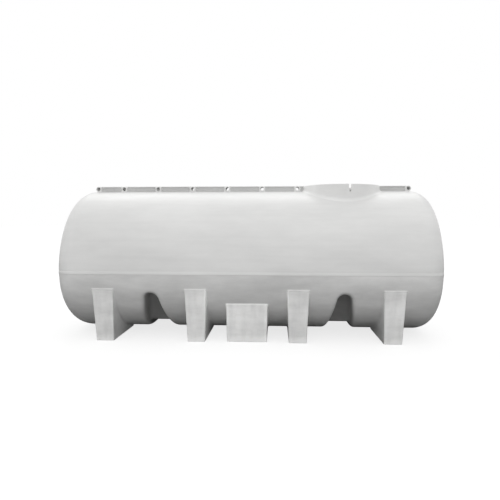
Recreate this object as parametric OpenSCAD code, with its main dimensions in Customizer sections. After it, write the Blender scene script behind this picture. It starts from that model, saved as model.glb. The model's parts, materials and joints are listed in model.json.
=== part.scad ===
// Free-standing horizontal liquid fertiliser tank, rotationally moulded in one piece.
// +X runs along the barrel, +Z is up, and the origin is on the ground under the middle.
// The moulding is divided where its forms change: top bays, belly bays, domed ends,
// feet, sump, baffle pockets, crest rail and manway.

/* [Barrel] */
// Length over both domed ends
tank_l = 4344; // [3600:2:5240]
// Width of the barrel, twice the radius of its round top
barrel_w = 1860; // [1550:20:2240]
// Height of the parting line above the ground
part_h = 736; // [610:2:890]
// Height of the belly's lowest line above the ground
belly_clear = 5; // [2:1:20]
// Thickness of the moulded wall
wall = 12; // [8:1:16]
// Height of the lip where the top half overhangs the lower half
lip_h = 16; // [8:1:30]
// How far the lip stands out
lip_out = 5; // [3:1:10]

/* [Domed ends] */
// Rise of each end's dish over the full radius
dish_rise = 125; // [60:5:220]
// Radius of the knuckle between dish and barrel
knuckle_r = 175; // [100:5:300]

/* [Feet] */
// Width of a foot at its top
foot_top_w = 231; // [180:1:300]
// Width of a foot at the ground
foot_base_w = 179; // [140:1:240]
// Height at which a foot runs out into the belly
foot_h = 581; // [450:1:640]
// Distance from the tank's middle plane to a foot's face at the ground
foot_base_y = 853; // [720:1:1000]
// How far a foot's face leans out over its height
foot_lean = 62; // [20:1:80]
// Where a foot's underside starts, from the tank's middle plane
foot_inner_y = 150; // [100:5:300]
// Radius along a foot's upright edges
foot_edge_r = 10; // [6:1:30]
// Distance from an outer foot's centre to the start of the domed end
foot_end_gap = 355; // [200:5:500]
// Distance from an inner foot's centre to the side of the sump
foot_sump_gap = 326; // [220:2:420]

/* [Sump] */
// Width of the sump box at its top
sump_top_w = 445; // [340:1:540]
// Width of the sump box at the ground
sump_base_w = 410; // [320:1:500]
// Height of the sump box
sump_h = 414; // [300:1:500]
// Distance from the tank's middle plane to the sump's face at the ground
sump_base_y = 830; // [700:1:1000]
// How far the sump's face leans out over its height
sump_lean = 12; // [0:1:60]
// Where the sump's underside starts, from the tank's middle plane
sump_inner_y = 180; // [100:5:300]

/* [Baffle pockets] */
// Half width of a pocket at the ground
pocket_base_hw = 160; // [120:2:200]
// Radius of a pocket's arched top
pocket_arch_r = 80; // [60:1:110]
// Height of a pocket's arched top
pocket_h = 531; // [400:1:600]
// Distance from the tank's middle plane to the back of a pocket at the ground
pocket_web_y = 245; // [100:5:300]
// How far the back of a pocket leans out over the pocket's height
pocket_lean = 425; // [100:5:480]
// How much nearer to the inner foot than halfway a pocket sits
pocket_offset = 20; // [0:2:40]
// Height above the ground of the groove that joins two pockets across the belly
groove_h = 125; // [60:1:160]

/* [Crest rail] */
// Width of the rail along the crest
rail_w = 150; // [110:2:200]
// Height of the rail above the crest
rail_h = 64; // [45:1:90]
// Distance from the start of a domed end to the rail's last strap hole
rail_end_gap = 14; // [10:1:120]
// Depth of the panels sunk in the rail's sides
panel_d = 8; // [4:1:12]
// Diameter of the strap holes through the rail
strap_d = 42; // [25:1:50]
// Outer diameter of the boss round a strap hole
boss_d = 62; // [52:1:64]
// How far a boss stands out of the rail
boss_out = 7; // [3:1:12]
// Strap holes between the rail's left end and the collar
strap_count = 6; // [3:1:8]
// Distance from the hole in the rail's left end to the next one
strap_first_gap = 325; // [250:5:450]
// Distance from the collar to the nearest strap hole
strap_collar_gap = 67; // [60:1:160]
// How much narrower the rail is at its top than at the crest
rail_draft = 6; // [0:1:20]
// Height of the panels sunk in the rail's sides
panel_h = 36; // [16:1:40]
// Distance from a boss to the panels beside it
panel_gap = 10; // [4:1:20]

/* [Manway] */
// Distance from the manway's centre to the start of the domed end
manway_end_gap = 811; // [600:1:950]
// Outer diameter of the collar round the manway
collar_d = 926; // [780:2:1120]
// Height of the collar's rim above the crest
collar_h = 62; // [50:1:90]
// Width of the collar's rim
rim_w = 55; // [40:1:80]
// How far the collar's foot flares out
flare = 14; // [8:1:30]
// Height of the flare over the line where the collar meets the barrel's sides
flare_h = 55; // [30:1:80]
// Width of the drain slots through the collar
slot_w = 30; // [16:1:40]
// Distance of the drain slots from the collar's middle, towards the end of the tank
slot_offset = 46; // [0:1:90]
// Diameter of the drain holes under the slots
weep_d = 18; // [10:1:22]
// How far the drain holes lie below the slots' floor
weep_drop = 16; // [14:1:24]
// Outer diameter of the filling neck
neck_d = 470; // [380:5:520]
// Height of the filling neck above the deck
neck_h = 18; // [12:1:24]
// Diameter of the screw lid
lid_d = 520; // [430:5:580]
// Thickness of the screw lid's top
lid_t = 14; // [8:1:20]
// Clearance of the lid round the neck and of its skirt over the deck
lid_gap = 3; // [1:0.5:6]

/* [Hidden] */
$fn = 160;

plastic = [0.93, 0.93, 0.92];
lid_grey = [0.85, 0.85, 0.85];

barrel_r = barrel_w / 2;
crest_h = part_h + barrel_r;
belly_d = part_h - belly_clear;      // depth of the half-elliptical belly

// The dish is part of a sphere, and the knuckle is tangent to it and to the barrel
dish_r = (pow(barrel_r, 2) + pow(dish_rise, 2)) / (2 * dish_rise);
dish_x = tank_l / 2 - dish_r;
knuckle_y = barrel_r - knuckle_r;
knuckle_x = dish_x + sqrt(pow(dish_r - knuckle_r, 2) - pow(knuckle_y, 2));
knuckle_steps = 10;
dish_steps = 12;
arch_steps = 16;
over = 1;                            // how far a cutting shape passes the face it cuts

// Places along the barrel, on the +X side
foot_outer_x = knuckle_x - foot_end_gap;
foot_inner_x = sump_top_w / 2 + foot_sump_gap;
pocket_x = (foot_outer_x + foot_inner_x) / 2 - pocket_offset;
joint_inner_x = (sump_top_w / 2 + foot_inner_x - foot_top_w / 2) / 2;
joint_mid_x = (foot_inner_x + foot_top_w / 2 + pocket_x - pocket_base_hw) / 2;
joint_outer_x = (foot_outer_x - foot_top_w / 2 + pocket_x + pocket_base_hw) / 2;
manway_x = knuckle_x - manway_end_gap;
joint_manway_x = manway_x - collar_d / 2 - strap_collar_gap / 2;
joint_top_x = (joint_manway_x - knuckle_x) / 2;
feet_x = [-foot_outer_x, -foot_inner_x, foot_inner_x, foot_outer_x];

// The strap holes, from the rail's left end to its right end past the collar
lug_x = knuckle_x - rail_end_gap;
strap_first_x = strap_first_gap - lug_x;
strap_last_x = manway_x - collar_d / 2 - strap_collar_gap;
strap_pitch = (strap_last_x - strap_first_x) / (strap_count - 1);
strap_x = concat([-lug_x], [for (i = [0:strap_count - 1]) strap_first_x + i * strap_pitch], [lug_x]);
strap_z = crest_h + rail_h / 2;

// How far the top half's surface lies below the crest at a distance from the middle plane
function crest_drop(y) = barrel_r - sqrt(pow(barrel_r, 2) - pow(y, 2));
big = tank_l + barrel_w;

SIDES = ["front", "back"];
ENDS = ["left", "right"];

// ---------- Barrel ----------

// Points of half an end's outline as [radius, x], from the dish's middle to the barrel
function end_outline(inset) =
    let (tangent = atan2(knuckle_y, knuckle_x - dish_x), crown = dish_r - inset, turn = knuckle_r - inset)
    concat(
        [for (i = [0:dish_steps - 1]) let (t = tangent * i / dish_steps)
            [crown * sin(t), dish_x + crown * cos(t)]],
        [for (i = [0:knuckle_steps]) let (t = tangent + (90 - tangent) * i / knuckle_steps)
            [knuckle_y + turn * sin(t), knuckle_x + turn * cos(t)]]
    );

// A solid of one end, turned about the barrel's axis, starting at the knuckle
module end_dome(inset) {
    rotate([0, 90, 0])
        rotate_extrude()
            polygon(concat([[0, knuckle_x]], end_outline(inset)));
}

// A plain rod along the barrel's straight part, about the barrel's axis
module barrel_rod(inset) {
    rotate([0, 90, 0])
        cylinder(r = barrel_r - inset, h = 2 * (knuckle_x + over), center = true);
}

// The flat lip round the top half, in plan
module lip_plan() {
    half = concat([[0, 0]], [for (p = end_outline(-lip_out)) [p[1], p[0]]],
        [[0, barrel_r + lip_out]]);
    polygon(half);
    mirror([0, 1]) polygon(half);
}

// A slice of the space between two places on the barrel, above or below the parting line
module slice(x0, x1, upper = true) {
    translate([x0, -barrel_w, upper ? 0 : -barrel_w])
        cube([x1 - x0, 2 * barrel_w, barrel_w]);
}

// Shapes drawn about the barrel's axis, scaled in height to the belly's half ellipse
module belly_scale(inset) {
    translate([0, 0, part_h])
        scale([1, 1, (belly_d - inset) / (barrel_r - inset)])
            children();
}

// The solid inside the belly's surface, at a given distance under it
module belly_rod(inset) {
    belly_scale(inset) barrel_rod(inset);
}

// ---------- Top half ----------

module top_bay(x0, x1) {
    color(plastic)
        difference() {
            translate([0, 0, part_h])
                intersection() {
                    difference() {
                        union() {
                            barrel_rod(0);
                            translate([x0, -barrel_r - lip_out, 0])
                                cube([x1 - x0, barrel_w + 2 * lip_out, lip_h]);
                        }
                        barrel_rod(wall);
                    }
                    slice(x0, x1);
                }
            manway_bore();
        }
}

// The round opening under the manway's deck
module manway_bore() {
    translate([manway_x, 0, part_h])
        cylinder(d = collar_d - 2 * rim_w, h = barrel_w);
}

module end_upper(side) {
    color(plastic)
        translate([0, 0, part_h])
            on_side(side)
                difference() {
                    intersection() {
                        union() {
                            end_dome(0);
                            linear_extrude(lip_h) lip_plan();
                        }
                        slice(knuckle_x, tank_l);
                    }
                    end_dome(wall);
                }
}

module end_lower(side) {
    color(plastic)
        on_side(side)
            intersection() {
                difference() {
                    belly_scale(0) end_dome(0);
                    belly_scale(wall) end_dome(wall);
                }
                translate([0, 0, part_h]) slice(knuckle_x, tank_l, false);
            }
}

// ---------- Belly ----------

module belly_bay(x0, x1) {
    color(plastic)
        difference() {
            intersection() {
                difference() {
                    belly_rod(0);
                    belly_rod(wall);
                }
                translate([0, 0, part_h]) slice(x0, x1, false);
            }
            children();
        }
}

// The left end's shapes are the right end's mirrored
module on_side(side) {
    mirror([side < 0 ? 1 : 0, 0, 0]) children();
}

// Both sides of the belly get the same shape
module both_sides() {
    children();
    mirror([0, 1, 0]) children();
}

// ---------- Feet ----------

// A block that narrows and draws in towards the ground, on the front of the tank
module drafted_block(top_w, base_w, h, base_y, lean, inset, edge_r) {
    r = max(edge_r - inset, 1);
    module level(w, y, z) {
        for (s = [-1, 1])
            translate([s * (w / 2 - inset - r), -y + inset + r, z])
                cylinder(r = r, h = 1, $fn = 28);
        translate([-w / 2 + inset, -y + inset + r, z])
            cube([w - 2 * inset, y - inset - r, 1]);
    }
    hull() {
        level(base_w + (top_w - base_w) * inset / h, base_y + lean * inset / h, inset);
        level(top_w, base_y + lean, h - inset - 1);
    }
}

module foot_block(inset) {
    drafted_block(foot_top_w, foot_base_w, foot_h, foot_base_y, foot_lean, inset, foot_edge_r);
}

// The part of a front block that lies outside the middle strip of the belly
module outside_strip(y) {
    intersection() {
        children();
        translate([-big / 2, -big - y, -over]) cube([big, big, big]);
    }
}

module foot(x, back = false) {
    color(plastic)
        mirror([0, back ? 1 : 0, 0])
            difference() {
                outside_strip(foot_inner_y)
                    translate([x, 0, 0]) foot_block(0);
                outside_strip(foot_inner_y + wall)
                    translate([x, 0, 0]) foot_block(wall);
                belly_rod(0);
            }
}

module foot_window(x) {
    both_sides()
        outside_strip(foot_inner_y + wall)
            translate([x, 0, 0]) foot_block(wall);
}

// ---------- Sump ----------

module sump_block(inset) {
    drafted_block(sump_top_w, sump_base_w, sump_h, sump_base_y, sump_lean, inset, foot_edge_r);
}

module sump(back = false) {
    color(plastic)
        mirror([0, back ? 1 : 0, 0])
            difference() {
                outside_strip(sump_inner_y) sump_block(0);
                outside_strip(sump_inner_y + wall) sump_block(wall);
                belly_rod(0);
            }
}

module sump_window() {
    both_sides() outside_strip(sump_inner_y + wall) sump_block(wall);
}

// ---------- Baffle pockets ----------

// A pocket's outline seen from the side of the tank, as [x, height]: an arch on sides that
// spread towards the ground, tangent to it
module pocket_outline(grow) {
    arch_h = pocket_h - pocket_arch_r;
    r = pocket_arch_r + grow;
    base = pocket_base_hw + grow;
    tangent = acos(r / norm([base, arch_h])) - atan2(arch_h, base);
    foot_x = base + over * tan(tangent);
    polygon(concat(
        [[-foot_x, -over], [foot_x, -over]],
        [for (i = [0:arch_steps]) let (t = tangent + (180 - 2 * tangent) * i / arch_steps)
            [r * cos(t), arch_h + r * sin(t)]]
    ));
}

// Distance from the middle plane to the back of a pocket at a height
function pocket_back(z, grow) = pocket_web_y - grow + pocket_lean * z / pocket_h;

// Half of the section across a pair of pockets as [y, height]: the two recesses, whose
// backs lean out towards the top, and the groove that joins them under the belly
module pocket_section(grow) {
    top = pocket_h + 2 * wall;
    ceiling = groove_h + grow;
    polygon([
        [-barrel_w, -over], [-barrel_w, top], [-pocket_back(top, grow), top],
        [-pocket_back(ceiling, grow), ceiling], [over, ceiling], [over, -over]
    ]);
}

// The open space of the front pocket of a pair, up to the middle plane
module pocket_space(x, grow) {
    translate([x, 0, 0])
        intersection() {
            rotate([90, 0, 0])
                linear_extrude(2 * barrel_w, center = true) pocket_outline(grow);
            rotate([90, 0, 90])
                linear_extrude(barrel_w, center = true) pocket_section(grow);
        }
}

// The moulded walls of a recess, inside the belly's own wall
module pocket(x, back = false) {
    color(plastic)
        mirror([0, back ? 1 : 0, 0])
            difference() {
                intersection() {
                    pocket_space(x, wall);
                    belly_rod(wall);
                    translate([-big / 2, -big, 0]) cube([big, big, big]);
                }
                pocket_space(x, 0);
            }
}

// ---------- Crest rail ----------

// The rail's section as [y, height over the crest], narrower towards its top
module rail_section(inset) {
    top_y = (rail_w - rail_draft) / 2 - inset;
    foot_y = (rail_w + rail_draft) / 2 - inset;
    foot = -crest_drop(rail_w) - wall;
    polygon([[-foot_y, foot], [foot_y, foot], [top_y, rail_h], [-top_y, rail_h]]);
}

module rail_bar(x0, x1, inset) {
    translate([x0, 0, crest_h - (inset > 0 ? wall : 0)])
        rotate([90, 0, 90])
            linear_extrude(x1 - x0) rail_section(inset);
}

module strap_cylinder(x, d, out) {
    translate([x, 0, strap_z])
        rotate([90, 0, 0])
            cylinder(d = d, h = rail_w + 2 * out, center = true);
}

// One length of the hollow rail, with a tube for its strap hole and sunk side panels.
// Lengths meet halfway between two holes, and the collar stands between the last two.
module rail(i) {
    last = len(strap_x) - 1;
    x = strap_x[i];
    x0 = i == 0 ? x : i == last ? manway_x : (strap_x[i - 1] + x) / 2;
    x1 = i == last ? x : i == last - 1 ? manway_x : (x + strap_x[i + 1]) / 2;
    reach = boss_d / 2 + panel_gap;
    color(plastic)
        difference() {
            union() {
                difference() {
                    rail_bar(x0, x1, 0);
                    rail_bar(x0 - over, x1 + over, wall + panel_d);
                    rail_panel(x0 - over, x - reach);
                    rail_panel(x + reach, x1 + over);
                }
                if (i == 0 || i == last) strap_cylinder(x, rail_h, 0);
                strap_cylinder(x, boss_d, boss_out);
            }
            strap_cylinder(x, strap_d, 2 * boss_out);
            translate([0, 0, part_h]) barrel_rod(0);
            translate([manway_x, 0, 0]) cylinder(d = collar_d, h = 2 * crest_h);
        }
}

// The panels sunk in both sides of the rail between two places
module rail_panel(x0, x1) {
    if (x1 > x0)
        both_sides()
            translate([x0, -rail_w / 2 - panel_d, strap_z - panel_h / 2])
                cube([x1 - x0, 2 * panel_d, panel_h]);
}

// ---------- Manway ----------

rim_top = crest_h + collar_h;
rim_in_r = collar_d / 2 - rim_w;
collar_side_h = crest_h - crest_drop(collar_d / 2);   // where the collar meets the barrel's sides

// The collar's outer wall and rim, flared where it lands on the barrel
module collar_outline() {
    out_r = collar_d / 2;
    polygon([
        [rim_in_r, collar_side_h - flare_h], [out_r + flare, collar_side_h - flare_h],
        [out_r + flare, collar_side_h], [out_r, collar_side_h + flare_h],
        [out_r, rim_top], [rim_in_r, rim_top]
    ]);
}

// The hollow under the rim, between the collar's outer and inner walls, left solid
// round the drain slots
module collar_hollow() {
    difference() {
        rotate_extrude()
            translate([rim_in_r + wall, 0])
                square([rim_w - 2 * wall, rim_top - wall]);
        translate([slot_offset - slot_w / 2 - wall, -collar_d, 0])
            cube([slot_w + 2 * wall, 2 * collar_d, rim_top]);
    }
}

// The drain slots through the front and back of the collar, and the holes under them
module collar_drains() {
    translate([slot_offset - slot_w / 2, -collar_d, crest_h])
        cube([slot_w, 2 * collar_d, 2 * collar_h]);
    both_sides()
        translate([slot_offset, -collar_d / 2 - over, crest_h - weep_drop])
            rotate([-90, 0, 0])
                cylinder(d = weep_d, h = rim_w / 2);
}

module manway_collar() {
    color(plastic)
        translate([manway_x, 0, 0])
            difference() {
                rotate_extrude() collar_outline();
                collar_hollow();
                collar_drains();
                translate([-manway_x, 0, part_h]) barrel_rod(0);
            }
}

module manway_deck() {
    color(plastic)
        translate([manway_x, 0, 0])
            difference() {
                translate([0, 0, crest_h - wall]) cylinder(r = rim_in_r, h = wall);
                cylinder(d = neck_d - 2 * wall, h = 2 * crest_h);
            }
}

module manway_neck() {
    color(lid_grey)
        translate([manway_x, 0, crest_h])
            difference() {
                cylinder(d = neck_d, h = neck_h);
                translate([0, 0, -over]) cylinder(d = neck_d - 2 * wall, h = neck_h + 2 * over);
            }
}

module manway_lid() {
    skirt_h = neck_h - lid_gap;
    color(lid_grey)
        translate([manway_x, 0, crest_h + lid_gap])
            difference() {
                cylinder(d = lid_d, h = skirt_h + lid_t);
                translate([0, 0, -over]) cylinder(d = neck_d + 2 * lid_gap, h = skirt_h + over);
            }
}

// ---------- The tank ----------

top_bay(-knuckle_x, joint_top_x);  // top_left
top_bay(joint_top_x, joint_manway_x);  // top_centre
top_bay(joint_manway_x, knuckle_x);  // top_manway
belly_bay(-joint_inner_x, joint_inner_x) sump_window();  // belly_sump

for (e = ENDS) {
    side = e == "left" ? -1 : 1;
    end_upper(side);
    end_lower(side);
    on_side(side) belly_bay(joint_outer_x, knuckle_x) foot_window(foot_outer_x);
    on_side(side) belly_bay(joint_mid_x, joint_outer_x) both_sides() pocket_space(pocket_x, 0);
    on_side(side) belly_bay(joint_inner_x, joint_mid_x) foot_window(foot_inner_x);
    for (s = SIDES)
        pocket(side * pocket_x, s == "back");
}

for (s = SIDES) {
    sump(s == "back");
    for (i = [1:4])
        foot(feet_x[i - 1], s == "back");
}

for (i = [0:len(strap_x) - 1])
    rail(i);

manway_collar();
manway_deck();
manway_neck();
manway_lid();
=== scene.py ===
# Looks of the horizontal moulded liquid fertiliser tank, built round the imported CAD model.
# Everything is in metres: +X along the barrel towards the manway, +Z up, -Y the front.
import json
import math

import bmesh
import bpy
import numpy as np
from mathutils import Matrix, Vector

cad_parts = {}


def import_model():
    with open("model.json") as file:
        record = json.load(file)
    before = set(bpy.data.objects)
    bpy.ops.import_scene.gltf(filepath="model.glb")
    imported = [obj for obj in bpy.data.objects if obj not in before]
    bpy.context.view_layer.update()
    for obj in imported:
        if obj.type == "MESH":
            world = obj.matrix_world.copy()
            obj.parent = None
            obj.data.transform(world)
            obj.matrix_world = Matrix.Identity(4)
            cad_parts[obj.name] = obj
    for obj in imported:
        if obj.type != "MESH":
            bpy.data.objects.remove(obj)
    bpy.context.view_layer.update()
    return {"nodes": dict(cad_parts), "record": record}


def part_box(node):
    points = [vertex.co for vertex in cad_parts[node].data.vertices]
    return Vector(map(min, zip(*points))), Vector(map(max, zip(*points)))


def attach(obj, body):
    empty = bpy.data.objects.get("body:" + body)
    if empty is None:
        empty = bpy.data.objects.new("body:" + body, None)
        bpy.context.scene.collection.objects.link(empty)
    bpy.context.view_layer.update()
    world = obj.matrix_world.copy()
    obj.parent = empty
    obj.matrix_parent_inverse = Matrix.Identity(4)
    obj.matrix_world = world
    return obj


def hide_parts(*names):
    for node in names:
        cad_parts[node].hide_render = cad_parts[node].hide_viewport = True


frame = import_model()

# ---------- Sizes taken from the frame ----------

# The visible belly lies a little higher than the CAD's, and its pockets a little further out
BELLY_LIFT, POCKET_SHIFT = 0.010, 0.012


def span(node):
    """A node's low corner, high corner and middle."""
    low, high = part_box(node)
    return low, high, (low + high) / 2


PARTING_Z = span("top_centre")[0].z
CREST_Z = span("top_centre")[1].z
BARREL_R = CREST_Z - PARTING_Z
LIP_OUT = span("top_centre")[1].y - BARREL_R
END_X = span("end_right_lower")[1].x
KNUCKLE_X = span("end_right_lower")[0].x
BELLY_RATIO = (PARTING_Z - span("belly_sump")[0].z - BELLY_LIFT) / BARREL_R
FEET_X = [span(f"foot_front_{i}")[2].x for i in range(1, 5)]
POCKET_X = span("pocket_right_front")[2].x + POCKET_SHIFT
MANWAY_X = span("manway_collar")[2].x
COLLAR_R = (span("manway_collar")[1].x - span("manway_collar")[0].x) / 2
RIM_Z = span("manway_collar")[1].z
RAIL_TOP = span("rail_4")[1].z
LID_LOW, LID_HIGH, LID_MIDDLE = span("manway_lid")
LID_R = LID_HIGH.x - LID_MIDDLE.x
STRAPS = [m for m in frame["record"]["mounts"] if m["kind"] == "bore"]
STRAP_X = [m["pos_m"][0] for m in STRAPS]
STRAP_Z = STRAPS[0]["pos_m"][2]
STRAP_R = STRAPS[0]["dims"]["r_mm"] / 1000

# ---------- Sizes of the moulding that no box gives ----------

DISH_RISE, KNUCKLE_R = 0.125, 0.175
LIP_H = 0.016
# The parting lip's section, as (out from the shell, up from the parting line): sunk in the shell
# at its top, widest just over the line, and turned in under its own edge
LIP_SECTION = [(-0.002, 2.4 * LIP_H), (0.0001, 2.1 * LIP_H), (0.25 * LIP_OUT, 0.3 * LIP_H),
               (0.25 * LIP_OUT, 0.002), (0.12 * LIP_OUT, 0.0), (-0.010, 0.0)]
# A leg: its width at the top and at the ground, its height, how far out its face stands at the
# ground and leans over its height, and where its block begins inside the belly
FOOT = dict(top_w=0.231, base_w=0.191, height=0.573, base_y=0.853, lean=0.062, inner_y=0.150)
SUMP = dict(top_w=0.449, base_w=0.434, height=0.414, base_y=0.830, lean=0.012, inner_y=0.180)
# A baffle pocket: half its width at the ground, its arch and its height, how far out its back
# begins and leans over its height, and the height of the groove that joins it to its twin
POCKET_BASE_HALF, POCKET_ARCH_R, POCKET_H = 0.168, 0.080, 0.531
POCKET_WEB_Y, POCKET_LEAN, GROOVE_H = 0.237, 0.425, 0.121
# The rail with its recessed panels, and the bosses round the strap holes
RAIL_W, RAIL_DRAFT, PANEL_D, PANEL_H = 0.150, 0.006, 0.008, 0.036
BOSS_R, BOSS_OUT, PANEL_GAP = 0.031, 0.007, 0.010
RAIL_SUNK, RAIL_LAP = 0.030, 0.020      # how far the rail runs down into the barrel and into the collar
# The collar's rim, drain slots and weep holes, its deck and its wall
RIM_W, SLOT_OFFSET, SLOT_HALF, SLOT_FLOOR, SLOT_PAST = 0.055, 0.046, 0.015, 0.004, 0.020
WEEP_R, WEEP_DROP, WEEP_DEPTH = 0.009, 0.016, 0.060
DECK_RISE, DECK_T, DECK_LAP, COLLAR_WALL = 0.0015, 0.020, 0.030, 0.030
LID_TEETH, LID_TOOTH_D = 36, 0.006
LID_PIN_R = 0.0005                      # the pinhole that a ring leaves at the lid's axis
# The lid's section, each point with its drop from the top: the shoulder by how far it lies in from
# the toothed grip, the raised band by how far from the rim, and the hub by its radius
LID_SHOULDER = [(0.0, 0.012), (0.002, 0.006), (0.007, 0.002)]
LID_BAND = [(0.020, 0.0), (0.040, 0.0), (0.048, 0.008)]
LID_HUB = [(0.080, 0.006), (0.074, 0.0), (LID_PIN_R, -0.002)]
CROSS_SHORTER, CROSS_HALF_W, CROSS_TALL, CROSS_SUNK, CROSS_EDGE = 0.055, 0.012, 0.009, 0.012, 0.004
ARM_TAPER, ARM_DRAFT = 0.96, 0.90       # a cross arm's top, as shares of its foot along x and y

# How softly the moulding turns at its edges, inner corners and pocket rims
LEG_EDGE_R, LEG_FILLET = 0.010, 0.022
LEG_BELOW = 0.006                       # how far a rounded leg reaches under the ground it is cut off at
POCKET_RIM, POCKET_CORNER = 0.042, 0.040
RAIL_EDGE_R, RAIL_FILLET, PANEL_EDGE_R = 0.007, 0.006, 0.004
COVE, RIM_EDGE_R = 0.030, 0.009
COVE_LAP, COVE_SUNK = 0.012, 0.004      # the cove's edge runs on and dips under the barrel
# The belly's sides draw in just under the parting line
DRAFT, DRAFT_REACH = 0.075, 0.08

# How finely the pieces are divided
DISH_STEPS, KNUCKLE_STEPS, BARREL_STEPS, TURN_STEPS, ARCH_STEPS = 16, 14, 48, 96, 24
COLLAR_STEPS, COVE_STEPS, EDGE_STEPS = 160, 7, 4
LID_STEPS = 8 * LID_TEETH
VOXEL, RAIL_VOXEL = ((0.010, 0.005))
# How far a vertex may move in one round of settling on its surface
LOWER_REACH, RAIL_REACH = 0.012, 0.004
SHARP = math.radians(40)


# ---------- Helpers ----------

def mesh_object(name, bm):
    """A new object with this mesh, smooth all over."""
    mesh = bpy.data.meshes.new(name)
    bmesh.ops.recalc_face_normals(bm, faces=bm.faces)
    bm.to_mesh(mesh)
    bm.free()
    for polygon in mesh.polygons:
        polygon.use_smooth = True
    obj = bpy.data.objects.new(name, mesh)
    bpy.context.scene.collection.objects.link(obj)
    return obj


def apply_modifiers(obj):
    """Replaces an object's mesh by what its modifiers make of it."""
    graph = bpy.context.evaluated_depsgraph_get()
    graph.update()
    made = bpy.data.meshes.new_from_object(obj.evaluated_get(graph))
    obj.modifiers.clear()
    old = obj.data
    obj.data = made
    bpy.data.meshes.remove(old)
    return obj


def cut(obj, tool):
    """Takes a tool's solid away from an object; the tool is used up."""
    modifier = obj.modifiers.new("cut", "BOOLEAN")
    modifier.object = tool
    modifier.operation = "DIFFERENCE"
    modifier.solver = "EXACT"
    apply_modifiers(obj)
    bpy.data.objects.remove(tool)


def remesh(obj, voxel, rounds):
    """Gives overlapping closed solids one even skin, relaxed for some rounds."""
    grid = obj.modifiers.new("remesh", "REMESH")
    grid.mode = "VOXEL"
    grid.voxel_size = voxel
    grid.use_smooth_shade = True
    relax = obj.modifiers.new("relax", "SMOOTH")
    relax.factor = 0.5
    relax.iterations = rounds
    return apply_modifiers(obj)


def finish_piece(obj, material, nodes):
    """Gives a finished piece its material, its body and the nodes it stands for."""
    obj.data.materials.clear()
    obj.data.materials.append(material)
    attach(obj, "root")
    if nodes:
        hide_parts(*nodes)


def add(bm, other):
    """Adds another bmesh's faces to a bmesh; the other one is used up."""
    bmesh.ops.recalc_face_normals(other, faces=other.faces)
    mesh = bpy.data.meshes.new("part")
    other.to_mesh(mesh)
    other.free()
    bm.from_mesh(mesh)
    bpy.data.meshes.remove(mesh)


def clip(bm, place, towards):
    """Cuts off what lies beyond a plane."""
    bmesh.ops.bisect_plane(bm, geom=bm.verts[:] + bm.edges[:] + bm.faces[:], plane_co=place,
                           plane_no=towards, clear_outer=True, dist=1e-6)


def block(low, high):
    """A closed block between two rectangles, each (x0, x1, y0, y1, z)."""
    bm = bmesh.new()
    bmesh.ops.create_cube(bm, size=2)
    for v in bm.verts:
        x0, x1, y0, y1, z = high if v.co.z > 0 else low
        v.co = Vector((x1 if v.co.x > 0 else x0, y1 if v.co.y > 0 else y0, z))
    return bm


def cylinder(place, radius, length, segments=48):
    """A closed cylinder about a point, lying along the y axis."""
    bm = bmesh.new()
    bmesh.ops.create_cone(bm, cap_ends=True, segments=segments, radius1=radius, radius2=radius, depth=length)
    for v in bm.verts:
        x, y, z = v.co
        v.co = Vector(place) + Vector((x, -z, y))
    return bm


def closed_loop(bm, points):
    """The edges of a closed loop through these points."""
    verts = [bm.verts.new(point) for point in points]
    return [bm.edges.new(pair) for pair in zip(verts, verts[1:] + verts[:1])]


# ---------- Solids as signed distances, with their edges and corners rounded ----------

# The lower half and the rail are mouldings whose parts flow into each other. Each is first put
# together from crisp solids and remeshed, and then its vertices settle on the place where a
# function of x, y and z is zero: negative inside the plastic, positive outside.

SLOPE_STEP, LEAST_SLOPE, SETTLE_ROUNDS = 1e-4, 0.05, 5
NEVER_NOUGHT = 1e-9                     # keeps a length that is divided by off nought


def smooth_min(a, b, width):
    """The union of two solids, with a fillet where their surfaces meet."""
    share = np.clip(0.5 + 0.5 * (b - a) / width, 0, 1)
    return b + (a - b) * share - width * share * (1 - share)


def smooth_max(a, b, width):
    """What two solids share, with its new edge rounded."""
    return -smooth_min(-a, -b, width)


def rounded(faces, radius):
    """What half spaces at about right angles share, with its edges rounded."""
    inner = [face + radius for face in faces]
    outside = np.sqrt(sum(np.maximum(face, 0) ** 2 for face in inner))
    return outside + np.minimum(np.maximum.reduce(inner), 0) - radius


def slopes(distance, points):
    """A distance's value and gradient at each point."""
    value = distance(*points.T)
    rise = [(distance(*(points + step).T) - distance(*(points - step).T)) / (2 * SLOPE_STEP)
            for step in SLOPE_STEP * np.eye(3)]
    return value, np.stack(rise, axis=1)


def mesh_points(mesh):
    """A mesh's vertices as rows of x, y and z."""
    points = np.empty(len(mesh.vertices) * 3)
    mesh.vertices.foreach_get("co", points)
    return points.reshape(-1, 3)


def settle(obj, distance, reach):
    """Moves a mesh's vertices on to the surface where a distance is zero."""
    points = mesh_points(obj.data)
    for _ in range(SETTLE_ROUNDS):
        value, rise = slopes(distance, points)
        length = np.maximum((rise ** 2).sum(axis=1), LEAST_SLOPE)
        move = np.clip(value / length, -reach, reach)
        points = points - rise * move[:, None]
    obj.data.vertices.foreach_set("co", points.ravel())
    obj.data.update()
    return obj


def shade(obj, distance):
    """Gives a mesh the normals of the surface it follows, so its pieces meet without a seam."""
    rise = slopes(distance, mesh_points(obj.data))[1]
    rise /= np.maximum(np.linalg.norm(rise, axis=1), NEVER_NOUGHT)[:, None]
    obj.data.normals_split_custom_set_from_vertices(rise)


# ---------- The tank's outline ----------

DISH_R = (BARREL_R ** 2 + DISH_RISE ** 2) / (2 * DISH_RISE)
DISH_X = END_X - DISH_R
KNUCKLE_Y = BARREL_R - KNUCKLE_R
DISH_TURN = math.atan2(KNUCKLE_Y, KNUCKLE_X - DISH_X)


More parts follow.
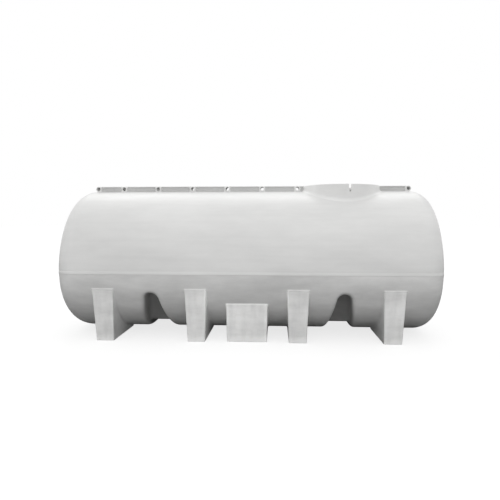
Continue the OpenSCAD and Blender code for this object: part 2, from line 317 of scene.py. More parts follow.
def end_outline(grow=0.0):
    """Half an end's outline as (x, radius), from the dish's middle out to the barrel."""
    points = []
    for i in range(DISH_STEPS):
        t = DISH_TURN * i / DISH_STEPS
        points.append((DISH_X + (DISH_R + grow) * math.cos(t), (DISH_R + grow) * math.sin(t)))
    for i in range(KNUCKLE_STEPS + 1):
        t = DISH_TURN + (math.pi / 2 - DISH_TURN) * i / KNUCKLE_STEPS
        r = KNUCKLE_R + grow
        points.append((KNUCKLE_X + r * math.cos(t), KNUCKLE_Y + r * math.sin(t)))
    return points


def tank_outline():
    """The tank's half outline from the left dish's middle to the right one's."""
    right = end_outline()
    left = [(-x, r) for x, r in right]
    barrel = [(-KNUCKLE_X + 2 * KNUCKLE_X * i / BARREL_STEPS, BARREL_R) for i in range(1, BARREL_STEPS)]
    return left + barrel + right[::-1]


def revolve(outline, turns):
    """A surface turned about the barrel's axis, from the front side over the crest."""
    bm = bmesh.new()
    verts = [bm.verts.new((x, -r, PARTING_Z)) for x, r in outline]
    edges = [bm.edges.new(pair) for pair in zip(verts, verts[1:])]
    bmesh.ops.spin(bm, geom=verts + edges, axis=(-1, 0, 0), cent=(0, 0, PARTING_Z),
                   angle=2 * math.pi * turns, steps=TURN_STEPS, use_merge=turns == 1)
    bmesh.ops.remove_doubles(bm, verts=bm.verts, dist=1e-6)
    return bm


def belly_distance(x, y, z):
    """The belly: the barrel and its ends, drawn out in height to a half ellipse, and drafted."""
    depth = PARTING_Z - z
    inset = DRAFT * depth * np.exp(-np.abs(depth) / DRAFT_REACH)
    ratio = np.where(depth > 0, BELLY_RATIO, 1.0)
    up = -depth / ratio
    r = np.maximum(np.hypot(y, up), NEVER_NOUGHT)
    along = np.abs(x)
    to_dish = np.hypot(along - DISH_X, r)
    to_knuckle = np.maximum(np.hypot(along - KNUCKLE_X, r - KNUCKLE_Y), NEVER_NOUGHT)
    on_dish = np.arctan2(r, along - DISH_X) < DISH_TURN
    parts = [on_dish, ~on_dish & (along > KNUCKLE_X)]
    gap = np.select(parts, [to_dish - DISH_R, to_knuckle - KNUCKLE_R], r - BARREL_R)
    # The gap's slope along x and along the radius, and how much the drawing out changes it
    slope_x = np.select(parts, [(along - DISH_X) / to_dish, (along - KNUCKLE_X) / to_knuckle], 0.0)
    slope_r = np.select(parts, [r / to_dish, (r - KNUCKLE_Y) / to_knuckle], 1.0)
    stretch = np.sqrt(slope_x ** 2 + (slope_r / r) ** 2 * (y ** 2 + (up / ratio) ** 2))
    return gap / stretch + inset


# ---------- Materials ----------

def calc(tree, operation, *values):
    """A math node over numbers and sockets; gives its output."""
    node = tree.nodes.new("ShaderNodeMath")
    node.operation = operation
    for socket, value in zip(node.inputs, values):
        if isinstance(value, (int, float)):
            socket.default_value = value
        else:
            tree.links.new(value, socket)
    return node.outputs[0]


def product(tree, first, *others):
    """Several values multiplied."""
    for other in others:
        first = calc(tree, "MULTIPLY", first, other)
    return first


def ramp(tree, value, start, stop):
    """Nought to one as a value goes from start to stop."""
    node = tree.nodes.new("ShaderNodeMapRange")
    node.inputs["From Min"].default_value = start
    node.inputs["From Max"].default_value = stop
    tree.links.new(value, node.inputs["Value"])
    return node.outputs["Result"]


def object_place(tree):
    """The Object coordinates, whole and as the sockets x, y and z."""
    place = tree.nodes.new("ShaderNodeTexCoord").outputs["Object"]
    parts = tree.nodes.new("ShaderNodeSeparateXYZ")
    tree.links.new(place, parts.inputs[0])
    return place, parts.outputs


def stretched(tree, place, factors):
    """A place with its x, y and z multiplied, so that a pattern on it is squeezed by these factors."""
    node = tree.nodes.new("ShaderNodeMapping")
    node.inputs["Scale"].default_value = factors
    tree.links.new(place, node.inputs["Vector"])
    return node.outputs[0]


def noise(tree, place, scale, detail):
    """A noise node over a place."""
    node = tree.nodes.new("ShaderNodeTexNoise")
    node.inputs["Scale"].default_value = scale
    node.inputs["Detail"].default_value = detail
    tree.links.new(place, node.inputs["Vector"])
    return node


def shader_group(name, inputs, outputs):
    """A node group with these (name, kind) sockets; gives its tree, input node and output node."""
    tree = bpy.data.node_groups.new(name, "ShaderNodeTree")
    for way, sockets in (("INPUT", inputs), ("OUTPUT", outputs)):
        for socket, kind in sockets:
            tree.interface.new_socket(socket, in_out=way, socket_type=f"NodeSocket{kind}")
    return tree, tree.nodes.new("NodeGroupInput"), tree.nodes.new("NodeGroupOutput")


# Where painted light and shade change the colours of the belly and the rail, in metres
UNDER_LIP = 0.02                        # every mask starts this far under the parting line
RECESS_FROM, RECESS_TO, BAY_HALF = 0.01, 0.13, 0.26     # painted shade deepens in a pocket over this depth and length
FACE_FADE, FACE_CLEAR, END_CLEAR = 0.03, 0.01, 0.12     # painted light on a leg's face: its fade, and off barrel and ends
HIGHLIGHT_HIGH, HIGHLIGHT_LOW = 0.080, 0.020        # painted highlight: faces are paler towards the ground
HIGHLIGHT_SIDE_FROM, HIGHLIGHT_SIDE_TO = 0.035, 0.005               # and the sump's towards its sides
EDGE_FROM, EDGE_TO = 0.014, 0.004       # painted shade on the top edge of a foot
PALE_TOP, PALE_TOP_END = 0.004, 0.010   # the rail's own top edge stays clear of the panels' painted shade
HIGHLIGHT_MORE = 0.8                          # how much paler the painted highlight makes a place, as a share of a face's own
FACE_STREAKS, STREAK_SWING, STREAK_LEAST = (15.0, 2.0, 4.0), 1.8, 0.1   # the upright streaks on faces


def zone_group():
    """Masks of painted light and shade over the belly: painted shade by the depth of its pockets, painted
    light on the faces of its legs, and painted shade on their top edges.
    """
    tree, _, result = shader_group(
        "moulded_zones", [], [("Recess", "Float"), ("Face", "Float"), ("Top Edge", "Float")])
    place, (x, y, up) = object_place(tree)
    along, out = calc(tree, "ABSOLUTE", x), calc(tree, "ABSOLUTE", y)
    depth = calc(tree, "SUBTRACT", PARTING_Z, up)
    below = calc(tree, "GREATER_THAN", depth, UNDER_LIP)

    # How far a place lies in from the barrel's surface, level with it
    share = calc(tree, "DIVIDE", depth, BARREL_R * BELLY_RATIO)
    rest = calc(tree, "MAXIMUM", calc(tree, "SUBTRACT", 1.0, product(tree, share, share)), 0.0)
    inside = calc(tree, "SUBTRACT", calc(tree, "MULTIPLY", calc(tree, "SQRT", rest), BARREL_R), out)
    off_pocket = calc(tree, "ABSOLUTE", calc(tree, "SUBTRACT", along, POCKET_X))
    # Painted shade in the pockets, deeper the further in from the belly a place lies
    recess = product(tree, ramp(tree, inside, RECESS_FROM, RECESS_TO), below,
                     calc(tree, "LESS_THAN", off_pocket, BAY_HALF))

    # The leaning front plane of the feet, or of the sump near the middle
    foot_slope, sump_slope = (leg["lean"] / leg["height"] for leg in (FOOT, SUMP))
    is_foot = calc(tree, "GREATER_THAN", along, SUMP["top_w"])
    slope = calc(tree, "MULTIPLY_ADD", is_foot, foot_slope - sump_slope, sump_slope)
    base = calc(tree, "MULTIPLY_ADD", is_foot, FOOT["base_y"] - SUMP["base_y"], SUMP["base_y"])
    front = calc(tree, "SUBTRACT", out, calc(tree, "MULTIPLY_ADD", up, slope, base))
    # Painted light on the front faces of the legs and the sump
    face = product(tree, ramp(tree, front, -FACE_FADE, 0.0), ramp(tree, inside, 0.0, -FACE_CLEAR), below,
                   calc(tree, "LESS_THAN", along, KNUCKLE_X - END_CLEAR))
    half = SUMP["base_w"] / 2
    sump_side = product(tree, ramp(tree, along, half - HIGHLIGHT_SIDE_FROM, half - HIGHLIGHT_SIDE_TO),
                        calc(tree, "LESS_THAN", along, SUMP["top_w"]))
    # A painted highlight on the faces near the ground and on the sump's face near its sides
    highlight = calc(tree, "MINIMUM", calc(tree, "ADD", ramp(tree, up, HIGHLIGHT_HIGH, HIGHLIGHT_LOW), sump_side), 1.0)
    streak = noise(tree, stretched(tree, place, FACE_STREAKS), 1.0, 3).outputs["Fac"]
    face = product(tree, face, calc(tree, "MULTIPLY_ADD", highlight, HIGHLIGHT_MORE, 1.0),
                   calc(tree, "MULTIPLY_ADD", streak, STREAK_SWING, STREAK_LEAST))

    # Painted shade on the top edge of a foot, where it stands out of the belly
    top = FOOT["height"]
    edge = product(tree, ramp(tree, up, top - EDGE_FROM, top - EDGE_TO), ramp(tree, inside, 0.0, -EDGE_TO),
                   below, calc(tree, "LESS_THAN", up, top + EDGE_TO))
    for name, mask in (("Recess", recess), ("Face", face), ("Top Edge", edge)):
        tree.links.new(mask, result.inputs[name])
    return tree


def panel_group():
    """A mask of painted shade over the crest rail: its recessed panels, away from the strap holes."""
    tree, _, result = shader_group("rail_panels", [], [("Panel", "Float")])
    _, (x, _, up) = object_place(tree)
    away = 2 * END_X                    # further off than any place on the rail
    for hole in STRAP_X:
        away = calc(tree, "MINIMUM", away, calc(tree, "ABSOLUTE", calc(tree, "SUBTRACT", x, hole)))
    # Painted shade on the recessed panels, fading out by the bosses and under the rail's top edge
    panel = ramp(tree, away, BOSS_R, BOSS_R + PANEL_GAP)
    under_top = ramp(tree, up, RAIL_TOP - PALE_TOP, RAIL_TOP - PALE_TOP_END)
    tree.links.new(product(tree, panel, under_top), result.inputs["Panel"])
    return tree


# The skin that the plastics share
BLOTCH_STRETCH, BLOTCH_DETAIL, BLOTCH_ROUGH = (0.45, 1.0, 1.3), 6, 0.62
STREAK_STRETCH, STREAK_SCALE, STREAK_DETAIL = (0.5, 2.0, 14.0), 1.6, 4
TONE_FROM, TONE_TO = 0.32, 0.68         # the part of the noise over which light turns to dark
GLOSS_SWING = 0.10                      # how much rougher a dark blotch is
WAVE_SCALE, GRAIN_SCALE = 2.2, 420
BLUE_SHARE = 0.99                       # blue against red and green: the plastics are a trace warm


def moulded_group():
    """Shader nodes shared by the plastics: soft drawn-out blotches, a fine skin and faint waviness."""
    tree, given, result = shader_group(
        "moulded_surface",
        [("Light", "Color"), ("Dark", "Color"), ("Blotch Scale", "Float"), ("Streak", "Float"),
         ("Roughness", "Float"), ("Wave", "Float"), ("Grain", "Float"), ("Shade", "Float")],
        [("Color", "Color"), ("Roughness", "Float"), ("Height", "Float")])
    nodes, links = tree.nodes, tree.links
    given = given.outputs
    place, _ = object_place(tree)

    blotch_node = noise(tree, stretched(tree, place, BLOTCH_STRETCH), 1.0, BLOTCH_DETAIL)
    blotch_node.inputs["Roughness"].default_value = BLOTCH_ROUGH
    links.new(given["Blotch Scale"], blotch_node.inputs["Scale"])
    blotch = blotch_node.outputs["Fac"]
    streak = noise(tree, stretched(tree, place, STREAK_STRETCH), STREAK_SCALE, STREAK_DETAIL).outputs["Fac"]
    unstreaked = calc(tree, "MULTIPLY", blotch, calc(tree, "SUBTRACT", 1.0, given["Streak"]))
    tone = calc(tree, "MULTIPLY_ADD", streak, given["Streak"], unstreaked)
    mix = nodes.new("ShaderNodeMix")
    mix.data_type = "RGBA"
    links.new(ramp(tree, tone, TONE_FROM, TONE_TO), mix.inputs["Factor"])
    links.new(given["Light"], mix.inputs["A"])
    links.new(given["Dark"], mix.inputs["B"])
    tint = nodes.new("ShaderNodeVectorMath")
    tint.operation = "SCALE"
    links.new(mix.outputs["Result"], tint.inputs[0])
    links.new(given["Shade"], tint.inputs["Scale"])

    wave = product(tree, noise(tree, place, WAVE_SCALE, 1).outputs["Fac"], given["Wave"])
    grain = noise(tree, place, GRAIN_SCALE, 2).outputs["Fac"]
    links.new(tint.outputs[0], result.inputs["Color"])
    links.new(calc(tree, "MULTIPLY_ADD", blotch, GLOSS_SWING, given["Roughness"]), result.inputs["Roughness"])
    links.new(calc(tree, "MULTIPLY_ADD", grain, given["Grain"], wave), result.inputs["Height"])
    return tree


def plastic(name, light, dark, **values):
    """A satin plastic between a light and a dark tone; values go to the shared group's sockets."""
    material = bpy.data.materials.new(name)
    material.use_nodes = True
    nodes, links = material.node_tree.nodes, material.node_tree.links
    shader = nodes["Principled BSDF"]
    surface = nodes.new("ShaderNodeGroup")
    surface.name = "surface"
    surface.node_tree = MOULDED
    surface.inputs["Light"].default_value = (light, light, light * BLUE_SHARE, 1)
    surface.inputs["Dark"].default_value = (dark, dark, dark * BLUE_SHARE, 1)
    surface.inputs["Shade"].default_value = 1.0
    for socket, value in values.items():
        surface.inputs[socket.replace("_", " ").title()].default_value = value
    bump = nodes.new("ShaderNodeBump")
    bump.inputs["Distance"].default_value = 1.0
    links.new(surface.outputs["Color"], shader.inputs["Base Color"])
    links.new(surface.outputs["Roughness"], shader.inputs["Roughness"])
    links.new(surface.outputs["Height"], bump.inputs["Height"])
    links.new(bump.outputs["Normal"], shader.inputs["Normal"])
    return material


def shade_by(material, group, amounts):
    """Paints light or shade into a plastic's colour by a group's masks, one amount for each."""
    tree = material.node_tree
    masks = tree.nodes.new("ShaderNodeGroup")
    masks.node_tree = group
    shade = 1.0
    for mask, amount in zip(masks.outputs, amounts):
        shade = calc(tree, "MULTIPLY_ADD", mask, amount, shade)
    tree.links.new(shade, tree.nodes["surface"].inputs["Shade"])


MOULDED = moulded_group()
SHELL = plastic("natural_polyethylene", 0.798, 0.693, blotch_scale=2.2, streak=0.2, roughness=0.30,
                wave=0.010, grain=0.00004)
BELLY = plastic("belly_polyethylene", 0.84, 0.66, blotch_scale=3.4, roughness=0.34, wave=0.010, grain=0.00004)
RAIL = plastic("crest_polyethylene", 0.80, 0.70, blotch_scale=5.0, roughness=0.42, wave=0.001, grain=0.00004)
# The collar's plastic is paler than the shell's: painted light on its upright wall
COLLAR = plastic("collar_polyethylene", 0.86, 0.77, blotch_scale=3.0, roughness=0.36, wave=0.002,
                 grain=0.00004)
LID = plastic("pale_grey_lid", 0.62, 0.56, blotch_scale=6.0, roughness=0.34, wave=0.001, grain=0.00003)
# Painted shade darkens the pockets and the feet's top edges, painted light makes the leg faces paler, and
# painted shade makes the rail's panels darker than its bosses
shade_by(BELLY, zone_group(), (-0.43, 0.21, -0.30))
shade_by(RAIL, panel_group(), (-0.28,))


# ---------- Upper half ----------

def upper_shell():
    """The round top half with the upper halves of both dished ends."""
    finish_piece(mesh_object("upper_shell", revolve(tank_outline(), 0.5)), SHELL,
                 ["top_left", "top_centre", "top_manway", "end_left_upper", "end_right_upper"])


def parting_lip():
    """The rounded lip along the parting line, in rings that follow the tank's plan."""
    bm = bmesh.new()
    rings = []
    for out, up in LIP_SECTION:
        right = end_outline(out)
        plan = [(x, -r) for x, r in right] + [(-x, -r) for x, r in right[::-1]]
        plan += [(-x, r) for x, r in right[1:]] + [(x, r) for x, r in right[:0:-1]]
        rings.append(closed_loop(bm, [(x, y, PARTING_Z + up) for x, y in plan]))
    for a, b in zip(rings, rings[1:]):
        bmesh.ops.bridge_loops(bm, edges=a + b)
    finish_piece(mesh_object("parting_lip", bm), SHELL, [])


# ---------- Lower half ----------

ARCH_Z = POCKET_H - POCKET_ARCH_R
# A pocket's sides lean by this angle, at which they run into its arch without a corner
ARCH_TURN = (math.acos(POCKET_ARCH_R / math.hypot(POCKET_BASE_HALF, ARCH_Z))
             - math.atan2(ARCH_Z, POCKET_BASE_HALF))
LEGS = [(x, FOOT) for x in FEET_X] + [(0.0, SUMP)]
TOOL_BELOW, TOOL_OUT = 0.1, 1.2         # a pocket's tool reaches past the belly, down and outwards


def web_y(z):
    """Distance from the middle plane to the back of a pocket at a height."""
    return POCKET_WEB_Y + POCKET_LEAN * z / POCKET_H


def leg_distance(x, y, z, top_w, base_w, height, base_y, lean, inner_y):
    """A foot or the sump, with x from its own middle and y outwards."""
    spread = (top_w - base_w) / 2 / height
    side = (np.abs(x) - base_w / 2 - spread * z) / math.hypot(1, spread)
    front = (y - base_y - lean / height * z) / math.hypot(1, lean / height)
    return rounded([side, np.maximum(front, inner_y - y), np.maximum(z - height, -z - LEG_BELOW)],
                   LEG_EDGE_R)


def pocket_distance(x, y, z):
    """The space of a baffle pocket and of the groove under it, x from the pocket's middle."""
    across, up = np.abs(x), z - ARCH_Z
    side = across * math.cos(ARCH_TURN) + up * math.sin(ARCH_TURN) - POCKET_ARCH_R
    outline = np.where(np.arctan2(up, across) > ARCH_TURN, np.hypot(across, up) - POCKET_ARCH_R, side)
    back = (web_y(z) - y) / math.hypot(1, POCKET_LEAN / POCKET_H)
    return smooth_max(outline, smooth_min(back, z - GROOVE_H, POCKET_CORNER), POCKET_CORNER)


def lower_distance(x, y, z):
    """The whole lower half: the belly, less its pockets, with its legs grown out of it."""
    out = np.abs(y)
    d = belly_distance(x, y, z)
    for middle in (-POCKET_X, POCKET_X):
        d = smooth_max(d, -pocket_distance(x - middle, out, z), POCKET_RIM)
    for middle, sizes in LEGS:
        d = smooth_min(d, leg_distance(x - middle, out, z, **sizes), LEG_FILLET)
    return d


def pocket_tool(x, side):
    """The space of one baffle pocket as a closed solid."""
    foot = POCKET_BASE_HALF + TOOL_BELOW * math.tan(ARCH_TURN)
    outline = [(-foot, -TOOL_BELOW), (foot, -TOOL_BELOW)]
    for i in range(ARCH_STEPS + 1):
        t = ARCH_TURN + (math.pi - 2 * ARCH_TURN) * i / ARCH_STEPS
        outline.append((POCKET_ARCH_R * math.cos(t), ARCH_Z + POCKET_ARCH_R * math.sin(t)))
    bm = bmesh.new()
    face = bm.faces.new([bm.verts.new((x + across, side * TOOL_OUT, up)) for across, up in outline])
    pushed = bmesh.ops.extrude_face_region(bm, geom=[face])["geom"]
    for v in pushed:
        if isinstance(v, bmesh.types.BMVert):
            v.co.y = side * web_y(v.co.z)
    return bm


def lower_skin():
    """The belly, its pockets, feet and sump as one even skin on the rounded surface."""
    bm = revolve(tank_outline(), 1)
    for v in bm.verts:
        if v.co.z < PARTING_Z:
            v.co.z = PARTING_Z + (v.co.z - PARTING_Z) * BELLY_RATIO
    skin = mesh_object("skin", bm)
    groove_half = POCKET_BASE_HALF - GROOVE_H * math.tan(ARCH_TURN)
    for x in (-POCKET_X, POCKET_X):
        for side in (-1, 1):
            cut(skin, mesh_object("space", pocket_tool(x, side)))
        low = (x - POCKET_BASE_HALF, x + POCKET_BASE_HALF, -BARREL_R, BARREL_R, 0)
        high = (x - groove_half, x + groove_half, -BARREL_R, BARREL_R, GROOVE_H)
        cut(skin, mesh_object("space", block(low, high)))
    whole = bmesh.new()
    whole.from_mesh(skin.data)
    bpy.data.objects.remove(skin)
    for middle, leg in LEGS:
        for side in (-1, 1):
            y0, y1 = sorted((side * leg["inner_y"], side * leg["base_y"]))
            y2, y3 = sorted((side * leg["inner_y"], side * (leg["base_y"] + leg["lean"])))
            add(whole, block((middle - leg["base_w"] / 2, middle + leg["base_w"] / 2, y0, y1, -LEG_BELOW),
                             (middle - leg["top_w"] / 2, middle + leg["top_w"] / 2, y2, y3, leg["height"])))
    return settle(remesh(mesh_object("skin", whole), VOXEL, rounds=3), lower_distance, LOWER_REACH)


# The lower half is divided as the frame is; each bay stands for the nodes named after it
BAYS = [["end_left_lower"],
        ["belly_left_outer", "foot_front_1", "foot_back_1"],
        ["belly_left_baffle", "pocket_left_front", "pocket_left_back"],
        ["belly_left_inner", "foot_front_2", "foot_back_2"],
        ["belly_sump", "sump_front", "sump_back"],
        ["belly_right_inner", "foot_front_3", "foot_back_3"],
        ["belly_right_baffle", "pocket_right_front", "pocket_right_back"],
        ["belly_right_outer", "foot_front_4", "foot_back_4"],
        ["end_right_lower"]]


def lower_pieces(skin):
    """Cuts the lower skin at the ground, at the parting line and into its bays."""
    whole = bmesh.new()
    whole.from_mesh(skin.data)
    bpy.data.objects.remove(skin)
    for v in whole.verts:
        v.co.z = max(v.co.z, 0.0)
    clip(whole, (0, 0, PARTING_Z), (0, 0, 1))
    for nodes in BAYS:
        bm = whole.copy()
        if nodes != BAYS[0]:
            clip(bm, (span(nodes[0])[0].x, 0, 0), (-1, 0, 0))
        if nodes != BAYS[-1]:
            clip(bm, (span(nodes[0])[1].x, 0, 0), (1, 0, 0))
        obj = mesh_object(f"{nodes[0]}_skin", bm)
        shade(obj, lower_distance)
        finish_piece(obj, BELLY, nodes)
    whole.free()


# ---------- Crest rail ----------

LUG_X = STRAP_X[-1]
RAIL_LOW = CREST_Z - RAIL_SUNK


def rail_distance(x, y, z):
    """The rail's bar with its panels, bosses and strap holes."""
    out, along = np.abs(y), np.abs(x)
    draft = RAIL_DRAFT / 2 / (RAIL_TOP - CREST_Z)
    side = out - (RAIL_W + RAIL_DRAFT) / 2 + draft * (z - CREST_Z)
    tip = np.where(along > LUG_X, np.hypot(along - LUG_X, z - STRAP_Z) - (RAIL_TOP - STRAP_Z),
                   np.maximum(z - RAIL_TOP, RAIL_LOW - z))
    d = rounded([side, tip], RAIL_EDGE_R)
    nearest = np.min([np.hypot(x - hole, z - STRAP_Z) for hole in STRAP_X], axis=0)
    beside = np.min([np.abs(x - hole) for hole in STRAP_X], axis=0)
    panel = rounded([np.abs(z - STRAP_Z) - PANEL_H / 2, RAIL_W / 2 - PANEL_D - out,
                     BOSS_R + PANEL_GAP - beside], PANEL_EDGE_R)
    d = smooth_max(d, -panel, RAIL_FILLET)
    boss = rounded([nearest - BOSS_R, out - RAIL_W / 2 - BOSS_OUT], PANEL_EDGE_R)
    d = smooth_max(smooth_min(d, boss, RAIL_FILLET), STRAP_R - nearest, RAIL_FILLET)
    return np.maximum(d, z - RAIL_TOP)


def rail(name, x0, x1, nodes):
    """A length of rail between two places; the ends run into the collar or are round."""
    half = RAIL_W / 2
    bar = (max(x0, -LUG_X), min(x1, LUG_X), -half, half)
    holes = [x for x in STRAP_X if x0 < x < x1]
    whole = block(bar + (RAIL_LOW,), bar + (RAIL_TOP,))
    for x in (-LUG_X, LUG_X):
        if x0 < x < x1:
            add(whole, cylinder((x, 0, STRAP_Z), RAIL_TOP - STRAP_Z, RAIL_W))
    for x in holes:
        add(whole, cylinder((x, 0, STRAP_Z), BOSS_R, RAIL_W + 2 * BOSS_OUT))
    obj = remesh(mesh_object(name, whole), RAIL_VOXEL, rounds=0)
    for x in holes:
        cut(obj, mesh_object("hole", cylinder((x, 0, STRAP_Z), STRAP_R, 2 * RAIL_W)))
    remesh(obj, RAIL_VOXEL, rounds=2)
    settle(obj, rail_distance, RAIL_REACH)
    shade(obj, rail_distance)
    finish_piece(obj, RAIL, nodes)


# ---------- Manway ----------

def barrel_top(y):
    """Height of the round top half at a distance from the middle plane."""
    return PARTING_Z + math.sqrt(BARREL_R ** 2 - y ** 2)


def ring_solid(name, profile, centre, steps):
    """A closed ring from a profile that may change with the angle, as (radius, height) points."""
    bm = bmesh.new()
    rings = []
    for i in range(steps):
        turn = 2 * math.pi * i / steps
        rings.append([bm.verts.new((centre + r * math.cos(turn), r * math.sin(turn), z))
                      for r, z in profile(turn)])
    for a, b in zip(rings, rings[1:] + rings[:1]):
        for j in range(len(a)):
            k = (j + 1) % len(a)
            bm.faces.new((a[j], a[k], b[k], b[j]))
    return mesh_object(name, bm)


def edge_arc(r, z, first, last):
    """A rounded edge of the collar between two angles, as (radius, height) points."""
    turns = [first + (last - first) * i / EDGE_STEPS for i in range(EDGE_STEPS + 1)]
    return [(r + RIM_EDGE_R * math.cos(t), z + RIM_EDGE_R * math.sin(t)) for t in turns]


def collar_profile(turn):
    """The collar's section: cove on the barrel, outer wall, rim, inner wall and deck."""
    def ground(r):
        return barrel_top(r * math.sin(turn))

    foot = COLLAR_R + COVE + COVE_LAP
    points = [(foot, ground(foot) - COVE_SUNK)]
    corner = (COLLAR_R, ground(COLLAR_R))
    start, stop = (COLLAR_R + COVE, ground(COLLAR_R + COVE)), (COLLAR_R, corner[1] + COVE)
    for i in range(COVE_STEPS + 1):
        t = i / COVE_STEPS
        weights = ((1 - t) ** 2, 2 * t * (1 - t), t ** 2)
        points.append(tuple(sum(w * p[k] for w, p in zip(weights, (start, corner, stop))) for k in range(2)))
    inner, deck = COLLAR_R - RIM_W, CREST_Z + DECK_RISE
    points += edge_arc(COLLAR_R - RIM_EDGE_R, RIM_Z - RIM_EDGE_R, 0, math.pi / 2)
    points += edge_arc(inner + RIM_EDGE_R, RIM_Z - RIM_EDGE_R, math.pi / 2, math.pi)
    points += edge_arc(inner - RIM_EDGE_R, deck + RIM_EDGE_R, 0, -math.pi / 2)
    points += [(LID_R - DECK_LAP, deck), (LID_R - DECK_LAP, deck - DECK_T)]
    return points + [(COLLAR_R - COLLAR_WALL, min(deck - DECK_T, corner[1] - COLLAR_WALL))]


def collar():
    """The collar and its deck, with a drain slot and a weep hole cut through it at front and back."""
    obj = ring_solid("manway_collar_skin", collar_profile, MANWAY_X, COLLAR_STEPS)
    x = MANWAY_X + SLOT_OFFSET
    for side in (-1, 1):
        y0, y1 = sorted((side * (COLLAR_R + SLOT_PAST), side * (COLLAR_R - RIM_W - SLOT_PAST)))
        slot = (x - SLOT_HALF, x + SLOT_HALF, y0, y1)
        cut(obj, mesh_object("slot", block(slot + (CREST_Z + SLOT_FLOOR,), slot + (RIM_Z + SLOT_PAST,))))
        weep = (x, side * COLLAR_R, CREST_Z - WEEP_DROP)
        cut(obj, mesh_object("weep", cylinder(weep, WEEP_R, WEEP_DEPTH, segments=24)))
    obj.data.set_sharp_from_angle(angle=SHARP)
    finish_piece(obj, COLLAR, ["manway_collar", "manway_deck"])


def lid_profile(turn):
    """The lid's section: toothed grip, rounded shoulder, raised band, sunk top and hub."""
    low, top = LID_LOW.z, LID_HIGH.z
    grip = LID_R - LID_TOOTH_D * (0.5 - 0.5 * math.cos(LID_TEETH * turn)) ** 2
    points = [(grip, low)] + [(grip - inset, top - drop) for inset, drop in LID_SHOULDER]
    points += [(LID_R - inset, top - drop) for inset, drop in LID_BAND]
    return points + [(r, top - drop) for r, drop in LID_HUB] + [(LID_PIN_R, low)]


def lid():
    """The screw lid, and on it the raised cross that it is turned by."""
    obj = ring_solid("manway_lid_skin", lid_profile, LID_MIDDLE.x, LID_STEPS)
    obj.data.set_sharp_from_angle(angle=SHARP)
    finish_piece(obj, LID, ["manway_lid"])
    x, top = LID_MIDDLE.x, LID_HIGH.z
    bm = bmesh.new()
    for a, b in ((CROSS_HALF_W, LID_R - CROSS_SHORTER), (LID_R - CROSS_SHORTER, CROSS_HALF_W)):
        c, d = a * ARM_TAPER, b * ARM_DRAFT
        arm = block((x - a, x + a, -b, b, top - CROSS_SUNK), (x - c, x + c, -d, d, top + CROSS_TALL))
        bmesh.ops.bevel(arm, geom=arm.edges[:], offset=CROSS_EDGE, affect="EDGES", segments=2, profile=0.5,
                        material=-1)
        add(bm, arm)
    cross = mesh_object("lid_cross", bm)
    cross.data.set_sharp_from_angle(angle=SHARP)
    finish_piece(cross, LID, [])


upper_shell()
parting_lip()
lower_pieces(lower_skin())
rail("crest_rail_left", -END_X, MANWAY_X - COLLAR_R + RAIL_LAP, [f"rail_{i}" for i in range(1, 8)])
rail("crest_rail_right", MANWAY_X + COLLAR_R - RAIL_LAP, END_X, ["rail_8"])
collar()
lid()

# Of the CAD's own nodes only the neck under the lid is still there to be seen
for obj in frame["nodes"].values():
    if not obj.hide_render:
        obj.data.materials.clear()
        obj.data.materials.append(LID)


# ---------- Floor, light and camera ----------

AMBIENT = 0.96                          # strength of the light from all round
# The floor's tone to the camera and to everything else, and the glow that lifts it to near white
FLOOR_SEEN, FLOOR_BOUNCE, FLOOR_LIFT = 0.28, 0.10, 0.77
FLOOR_HALF, FLOOR_Z = 60, -0.001        # just under the legs, so that their undersides stay clear of it
CAMERA_PLACE = (0.306, -5.675, 1.335)
CAMERA_DOWN, CAMERA_TURN = 0.069, 0.056                 # in radians
LENS, SENSOR = 32.77, 36                # in millimetres


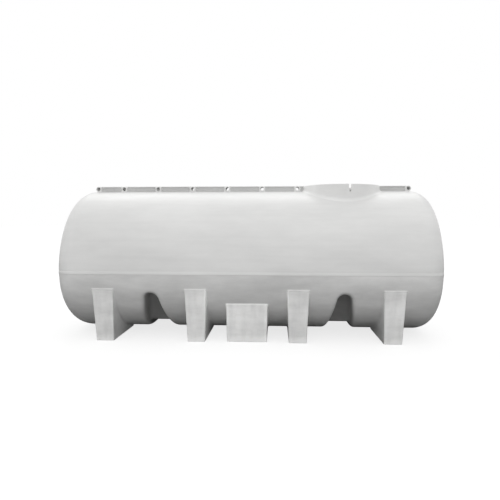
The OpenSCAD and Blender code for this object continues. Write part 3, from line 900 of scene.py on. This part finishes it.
def floor():
    """A pale floor, nearly white to the camera but throwing little light up under the tank."""
    bm = bmesh.new()
    bmesh.ops.create_grid(bm, x_segments=1, y_segments=1, size=FLOOR_HALF)
    bmesh.ops.translate(bm, verts=bm.verts, vec=(0, 0, FLOOR_Z))
    obj = mesh_object("floor", bm)
    material = bpy.data.materials.new("pale_floor")
    material.use_nodes = True
    tree = material.node_tree
    shader = tree.nodes["Principled BSDF"]
    shader.inputs["Roughness"].default_value = 0.9
    shader.inputs["Specular IOR Level"].default_value = 0.0
    shader.inputs["Emission Color"].default_value = (1, 1, 1, 1)
    seen = tree.nodes.new("ShaderNodeLightPath").outputs["Is Camera Ray"]
    tone = calc(tree, "MULTIPLY_ADD", seen, FLOOR_SEEN - FLOOR_BOUNCE, FLOOR_BOUNCE)
    tree.links.new(tone, shader.inputs["Base Color"])
    tree.links.new(calc(tree, "MULTIPLY", seen, FLOOR_LIFT), shader.inputs["Emission Strength"])
    obj.data.materials.append(material)


def world():
    """Even light from all round, which the camera and reflections see as plain white."""
    made = bpy.data.worlds.new("studio")
    made.use_nodes = True
    tree = made.node_tree
    background = tree.nodes["Background"]
    background.inputs["Color"].default_value = (1, 1, 1, 1)
    path = tree.nodes.new("ShaderNodeLightPath").outputs
    seen = calc(tree, "MAXIMUM", path["Is Camera Ray"], path["Is Glossy Ray"])
    tree.links.new(calc(tree, "MAXIMUM", seen, AMBIENT), background.inputs["Strength"])
    bpy.context.scene.world = made


def area_light(name, place, target, size, size_y, power):
    """A soft rectangular lamp that the camera doesn't see."""
    lamp = bpy.data.lights.new(name, "AREA")
    lamp.shape = "RECTANGLE"
    lamp.size, lamp.size_y = size, size_y
    lamp.energy = power
    obj = bpy.data.objects.new(name, lamp)
    bpy.context.scene.collection.objects.link(obj)
    obj.location = place
    obj.rotation_mode = "QUATERNION"
    obj.rotation_quaternion = (Vector(target) - Vector(place)).to_track_quat("-Z", "Y")
    obj.visible_camera = False


def camera():
    """The camera in front of the tank and a little to its right, looking slightly down."""
    data = bpy.data.cameras.new("camera")
    data.sensor_width = SENSOR
    data.lens = LENS
    obj = bpy.data.objects.new("camera", data)
    bpy.context.scene.collection.objects.link(obj)
    obj.location = CAMERA_PLACE
    obj.rotation_euler = (math.pi / 2 - CAMERA_DOWN, 0, CAMERA_TURN)
    bpy.context.scene.camera = obj


floor()
world()
# A low lamp in front lifts the sides and leg faces; one over the back brightens the crest
area_light("front", place=(0, -7.0, 0.8), target=(0, 0, 0.8), size=13, size_y=1.2, power=95)
area_light("crest", place=(0, 3.2, 5.5), target=(0, 0, 1.2), size=9, size_y=2, power=78)
camera()
bpy.context.scene.view_settings.view_transform = "Standard"
